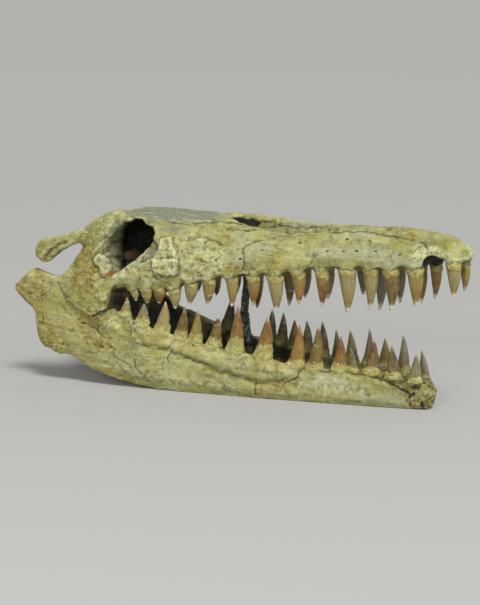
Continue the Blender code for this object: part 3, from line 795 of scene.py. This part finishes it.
# The left lower jaw: the far one, shorter at its broken rear end. It is the same bone, and its inner
# face, seen through the mouth, is painted dark with shade and a film of rock.
left_jaw = fine_copy("left_mandible", "left_jaw_bone", JAW_GRAIN, JAW_ROUNDS)
carve_jaw(left_jaw, "lower_left", side=1, seed=161)
hand_over(left_jaw, bone, "fossil_bone", "left_mandible")

# The column in the mouth: a dark, glossy lump of rock with white grains, left standing between
# the palate and the left lower jaw, where it holds the jaws apart.
COLUMN_GRAIN = 1.0 * MM
COLUMN_ROUNDS = 4
COLUMN_GLOSS = 0.28
COLUMN_RELIEF = 0.9 * MM
COLUMN_BLACK = (0.022, 0.026, 0.020, 1)
COLUMN_GREY = (0.10, 0.105, 0.075, 1)
COLUMN_WHITE = (0.50, 0.51, 0.44, 1)

column = fine_copy("matrix_pillar", "matrix_column", COLUMN_GRAIN, COLUMN_ROUNDS)
points, facing = points_of(column), facings_of(column)
shift = 0.8 + 1.6 * cloud(points, 10, 201) + 0.8 * cloud(points, 4, 202)
shift -= 0.9 * pits(points, 3.5, 0.5, 203)
put_points(column, points + shift[:, None] * facing)
dark_rock, tree, shader = new_material("Dark rock", COLUMN_GLOSS)
worn = add(tree, "Group", {"Grain size": 700.0}, node_tree=weathering)
colour = mixed(tree, band(tree, worn.outputs["Mottle"], 0.45, 0.68), COLUMN_BLACK, COLUMN_GREY)
white = maths(tree, "MULTIPLY", worn.outputs["Grains"], band(tree, worn.outputs["Tints"], 0.42, 0.52))
colour = mixed(tree, white, colour, COLUMN_WHITE)
relief = {"Height": worn.outputs["Height"], "Strength": 0.8, "Distance": COLUMN_RELIEF}
relief = add(tree, "Bump", relief)
tree.links.new(colour, shader.inputs["Base Color"])
tree.links.new(relief.outputs[0], shader.inputs["Normal"])
hand_over(column, dark_rock, "dark_matrix", "matrix_pillar")

# The teeth: pointed crowns of glossy enamel, tan, orange or red-brown, each on a collar of rough
# bone in its own socket. One tooth is modelled as a ringed cylinder, and every tooth is a copy of
# it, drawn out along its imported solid.
TOOTH_SIDES = 64
TOOTH_RINGS = 44
ROOT_SHARE = 0.16
UPPER_PROFILE = [(-0.16, 0.85), (0, 1.0), (0.08, 1.02), (0.14, 0.97), (0.19, 0.94), (0.215, 0.90)]
UPPER_PROFILE += [(0.36, 0.82), (0.52, 0.70), (0.70, 0.51), (0.84, 0.34)]
UPPER_PROFILE += [(0.94, 0.21), (0.985, 0.13), (1, 0.05)]
LOWER_PROFILE = [(-0.16, 1.1), (0, 1.2), (0.1, 1.06), (0.2, 0.94), (0.29, 0.85), (0.31, 0.82)]
LOWER_PROFILE += [(0.42, 0.74), (0.56, 0.60), (0.72, 0.42), (0.86, 0.24), (0.95, 0.12), (1, 0.04)]
UPPER_COLLAR = 0.215
LOWER_COLLAR = 0.3
FRONT_LOWER_TEETH = 7
FRONT_COLLAR_DROP = 0.14
KEEL = 0.05
FLUTES = 8
FLUTE_DEPTH = 0.012
TIP_LOSS = 1.6
CROWNS = {
    "pale": ((0.30, 0.26, 0.105), (0.25, 0.195, 0.07)),
    "tan": ((0.26, 0.20, 0.052), (0.21, 0.115, 0.018)),
    "orange": ((0.25, 0.155, 0.026), (0.225, 0.082, 0.008)),
    "rust": ((0.20, 0.11, 0.022), (0.135, 0.038, 0.006)),
    "maroon": ((0.12, 0.072, 0.022), (0.08, 0.022, 0.008)),
    "brown": ((0.14, 0.09, 0.022), (0.085, 0.04, 0.009)),
    "smoke": ((0.115, 0.095, 0.036), (0.065, 0.052, 0.017)),
    "ash": ((0.20, 0.185, 0.11), (0.16, 0.145, 0.085)),
}
ROWS = {
    "upper_right": "pale tan brown pale pale rust orange pale orange tan tan pale pale rust tan pale",
    "upper_left": "tan rust tan ash ash ash pale ash tan tan smoke tan smoke",
    "lower_right": "ash smoke maroon smoke rust brown orange rust rust brown tan brown pale ash pale",
    "lower_left": "ash ash tan ash tan ash smoke smoke tan smoke smoke smoke",
}
# Painted shade that darkens a whole row of teeth, here only the far lower row.
SHADES = {"upper_right": 0.0, "upper_left": 0.0, "lower_right": 0.0, "lower_left": 0.05}
ROCK_AND_SHADE_ROUND_TOOTH = 0.55
COLLAR = (0.35, 0.275, 0.095, 1)
CHIPPED = (0.74, 0.73, 0.62, 1)
HONEY = (0.31, 0.24, 0.075, 1)
DARKER = (0.45, 0.38, 0.30, 1)
CROWN_ROUGHNESS = 0.3
COLLAR_ROUGHNESS = 0.8
COAT = 0.7
TOOTH_RELIEF = 0.5 * MM

enamel, tree, shader = new_material("Tooth enamel", CROWN_ROUGHNESS)
worn = add(tree, "Group", {"Grain size": 1100.0}, node_tree=weathering)
where = add(tree, "TexCoord").outputs["Object"]
streak = noise(tree, where, 420.0, 4, (1, 1, 0.09))
cloudy = noise(tree, where, 120.0, 4)
tint = add(tree, "Attribute", attribute_name="tint").outputs["Color"]
darker = mixed(tree, 1.0, tint, DARKER, "MULTIPLY")
lighter = mixed(tree, 0.4, tint, HONEY)
crown = mixed(tree, band(tree, cloudy, 0.38, 0.62), tint, lighter)
crown = laid(tree, crown, darker, band(tree, streak, 0.5, 0.72), 0.6)
crown = laid(tree, crown, UMBER, worn.outputs["Hairlines"], 0.6)
chips = maths(tree, "MULTIPLY", mask(tree, "tip"), band(tree, noise(tree, where, 260.0, 3), 0.36, 0.5))
crown = mixed(tree, chips, crown, CHIPPED)
collar = mixed(tree, band(tree, worn.outputs["Mottle"], 0.4, 0.6), KHAKI, CREAM)
collar = laid(tree, collar, COLLAR, mask(tree, "collar"), band(tree, cloudy, 0.3, 0.6))
collar = laid(tree, collar, UMBER, worn.outputs["Grains"], 0.75)
is_crown = mask(tree, "crown")
colour = mixed(tree, is_crown, collar, crown)
colour = laid(tree, colour, UMBER, mask(tree, "seam"), band(tree, cloudy, 0.3, 0.7))
# Painted shade on the far teeth, from the row's share and from the dark round the far lower bases.
colour = mixed(tree, mask(tree, "shade"), colour, SOIL_AND_SHADE)
shiny = band(tree, maths(tree, "SUBTRACT", is_crown, chips), 0.0, 1.0)
gloss = {"Value": shiny, "To Min": COLLAR_ROUGHNESS, "To Max": CROWN_ROUGHNESS}
gloss = add(tree, "MapRange", gloss).outputs[0]
shader.inputs["Specular IOR Level"].default_value = 0.2
shader.inputs["Coat Roughness"].default_value = 0.1
tree.links.new(maths(tree, "MULTIPLY", shiny, COAT), shader.inputs["Coat Weight"])
rough_collar = maths(tree, "SUBTRACT", worn.outputs["Height"], is_crown)
crown_height = add(tree, "Math", {0: streak, 1: rough_collar}, operation="ADD").outputs[0]
relief = {"Height": crown_height, "Strength": 0.4, "Distance": TOOTH_RELIEF}
relief = add(tree, "Bump", relief)
tree.links.new(colour, shader.inputs["Base Color"])
tree.links.new(gloss, shader.inputs["Roughness"])
tree.links.new(relief.outputs[0], shader.inputs["Normal"])

select_none()
bpy.ops.mesh.primitive_cylinder_add(vertices=TOOTH_SIDES, radius=1, depth=1, end_fill_type="NGON")
model_tooth = bpy.context.object
bpy.ops.object.mode_set(mode="EDIT")
bpy.ops.mesh.select_mode(type="EDGE")
bpy.ops.mesh.select_all(action="DESELECT")
bpy.ops.object.mode_set(mode="OBJECT")
for edge in model_tooth.data.edges:
    low, high = (model_tooth.data.vertices[i].co.z for i in edge.vertices)
    edge.select = abs(low - high) > 0.5
bpy.ops.object.mode_set(mode="EDIT")
bpy.ops.mesh.subdivide(number_cuts=TOOTH_RINGS)
bpy.ops.object.mode_set(mode="OBJECT")
unit_tooth = points_of(model_tooth) * MM


def make_tooth(row, number, tone, seed):
    """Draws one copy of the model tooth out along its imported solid, and colours it by its tone."""
    node = f"{row}_tooth_{number:02d}"
    upper = "upper" in row
    middles, radii = packed_rings(node)
    base, middle, tip = middles[1:]
    bow = middle - 0.5 * (base + tip)
    along = -ROOT_SHARE + (unit_tooth[:, 2] + 0.5) * (1 + ROOT_SHARE)
    angle = np.arctan2(unit_tooth[:, 1], unit_tooth[:, 0])
    profile = UPPER_PROFILE if upper else LOWER_PROFILE
    dice = np.random.default_rng(seed)
    profile_collar = UPPER_COLLAR if upper else LOWER_COLLAR
    collar_end = profile_collar + dice.uniform(-0.06, 0.05)
    if not upper and number <= FRONT_LOWER_TEETH:
        collar_end -= FRONT_COLLAR_DROP
    stretch = [(-ROOT_SHARE, -ROOT_SHARE), (collar_end, profile_collar), (1, 1)]
    read_at = np.interp(along, *zip(*stretch))
    factor = np.interp(read_at, *zip(*profile))
    keel = 1 + KEEL * np.cos(angle) ** 8 * fade(along, collar_end, collar_end + 0.1)
    flutes = FLUTE_DEPTH * np.cos(angle * FLUTES + seed)
    flutes = 1 - flutes * fade(along, collar_end, collar_end + 0.05)
    wide = factor * keel * flutes
    wide = np.where(np.hypot(unit_tooth[:, 0], unit_tooth[:, 1]) > 0, wide, 0)
    spine = base + along[:, None] * (tip - base) + (4 * along * (1 - along))[:, None] * bow
    across = np.stack((unit_tooth[:, 0] * radii[1, 0], unit_tooth[:, 1] * radii[1, 1]), axis=1)
    places = spine.copy()
    places[:, :2] += across * wide[:, None]
    bumpy = 1 - fade(along, collar_end - 0.02, collar_end + 0.02)
    outward = np.stack((unit_tooth[:, 0], unit_tooth[:, 1], np.zeros(len(along))), axis=1)
    swell = cloud(places, 3.5, seed) * 0.9 + cloud(places, 1.8, seed + 1) * 0.5
    places += outward * (swell * bumpy + 0.12 * cloud(places, 6, seed + 2))[:, None]
    broken = fade(along, 0.9, 1)
    places[:, 0] += broken * cloud(places, 2.5, seed + 3) * 0.8
    places[:, 2] += broken * (1 if upper else -1) * dice.uniform(0, TIP_LOSS)
    piece = bpy.data.objects.new(node.replace("tooth", "crown"), model_tooth.data.copy())
    bpy.context.scene.collection.objects.link(piece)
    put_points(piece, places)
    edge = collar_end + 0.03 * np.cos(angle * 2 + seed) + 0.05 * cloud(places, 3.2, seed + 4)
    root_colour, tip_colour = (np.array(colour) for colour in CROWNS[tone])
    depth = fade(along + 0.12 * cloud(places, 7, seed + 5), 0.3, 0.8)[:, None]
    colour = (root_colour + depth * (tip_colour - root_colour)) * dice.uniform(0.88, 1.1)
    layer = piece.data.attributes.new("tint", "FLOAT_COLOR", "POINT")
    rgba = np.concatenate((colour, np.ones((len(along), 1))), axis=1)
    layer.data.foreach_set("color", rgba.astype(np.float32).ravel())
    white_end = fade(along, 0.8, 0.92) * (dice.uniform(0.75, 1) if upper else dice.uniform(0, 0.5))
    ring_at = dice.uniform(0.4, 2.4)
    ring = np.exp(-(((along - ring_at + 0.03 * np.cos(angle + seed)) / 0.012) ** 2))
    ring *= fade(cloud(places, 6, seed + 6), -0.2, 0.5)
    # The far lower teeth's bases get dark rock and painted shade, darker towards the rear of the row.
    rock_and_shade_at_base = np.zeros(len(along))
    if row == "lower_left":
        rock_and_shade_at_base += ROCK_AND_SHADE_ROUND_TOOTH * fade(along + 0.2 * cloud(places, 5, seed + 7), 0.75, 0.3)
        rock_and_shade_at_base *= 0.4 + 0.06 * number
    write_masks(
        piece,
        {
            "crown": fade(along - edge, -0.015, 0.015),
            "tip": np.maximum(white_end, ring),
            "seam": np.exp(-(((along - edge) / 0.022) ** 2)),
            "collar": fade(along - edge, -0.28, -0.04),
            "shade": SHADES[row] + rock_and_shade_at_base,
        },
    )
    hand_over(piece, enamel, "tooth_enamel", node)


for row_number, (row, tones) in enumerate(ROWS.items()):
    for number, tone in enumerate(tones.split(), 1):
        make_tooth(row, number, tone, 1000 + 100 * row_number + number)
bpy.data.objects.remove(model_tooth)

# The studio: a plain pale floor that runs far back, one soft light from high in front, two small
# lamps that give the crowns their shine, and a camera that sees the skull's right side.
FLOOR_PALE = (0.42, 0.42, 0.41, 1)
FLOOR_ACROSS = 120
LENS_MM = 85
SENSOR_MM = 36
SKY = (1, 0.99, 0.95, 1)
AIM = (-0.0085, 0, 0.124)
CAMERA_AWAY = 2.05
CAMERA_TURN = math.radians(27)
CAMERA_RISE = math.radians(9.5)
SKY_STRENGTH = 0.45
SOFT_LIGHT_FROM = (0.7, -0.75, 1.5)
SOFT_LIGHT_STRENGTH = 2.4
SOFT_LIGHT_SPREAD = math.radians(16)
LAMPS = {
    "Shine lamp": ((0.2, -2.2, 1.1), 0.4, 12),
    "Side lamp": ((2.2, -0.6, 0.9), 0.8, 8),
}

select_none()
bpy.ops.mesh.primitive_plane_add(size=FLOOR_ACROSS)
floor = bpy.context.object
floor.name = "floor"
paper, tree, shader = new_material("Pale floor", 0.85)
shader.inputs["Base Color"].default_value = FLOOR_PALE
shader.inputs["Specular IOR Level"].default_value = 0
floor.data.materials.append(paper)

for name, (place, size, power) in LAMPS.items():
    light = bpy.data.lights.new(name, "AREA")
    light.size = size
    light.energy = power
    lamp = bpy.data.objects.new(name, light)
    bpy.context.scene.collection.objects.link(lamp)
    lamp.location = place
    lamp.rotation_euler = (-lamp.location).to_track_quat("-Z", "Y").to_euler()

light = bpy.data.lights.new("Soft light", "SUN")
light.energy = SOFT_LIGHT_STRENGTH
light.angle = SOFT_LIGHT_SPREAD
lamp = bpy.data.objects.new("Soft light", light)
bpy.context.scene.collection.objects.link(lamp)
lamp.location = SOFT_LIGHT_FROM
lamp.rotation_euler = lamp.location.to_track_quat("Z", "Y").to_euler()

world = bpy.data.worlds.new("Studio")
world.use_nodes = True
sky = world.node_tree.nodes["Background"]
sky.inputs["Color"].default_value = SKY
sky.inputs["Strength"].default_value = SKY_STRENGTH
bpy.context.scene.world = world
bpy.context.scene.view_settings.view_transform = "Standard"

camera = bpy.data.objects.new("Camera", bpy.data.cameras.new("Camera"))
bpy.context.scene.collection.objects.link(camera)
camera.data.lens = LENS_MM
camera.data.sensor_width = SENSOR_MM
camera.location = (
    AIM[0] + CAMERA_AWAY * math.sin(CAMERA_TURN) * math.cos(CAMERA_RISE),
    AIM[1] - CAMERA_AWAY * math.cos(CAMERA_TURN) * math.cos(CAMERA_RISE),
    AIM[2] + CAMERA_AWAY * math.sin(CAMERA_RISE),
)
camera.rotation_euler = (math.pi / 2 - CAMERA_RISE, 0, CAMERA_TURN)
bpy.context.scene.camera = camera
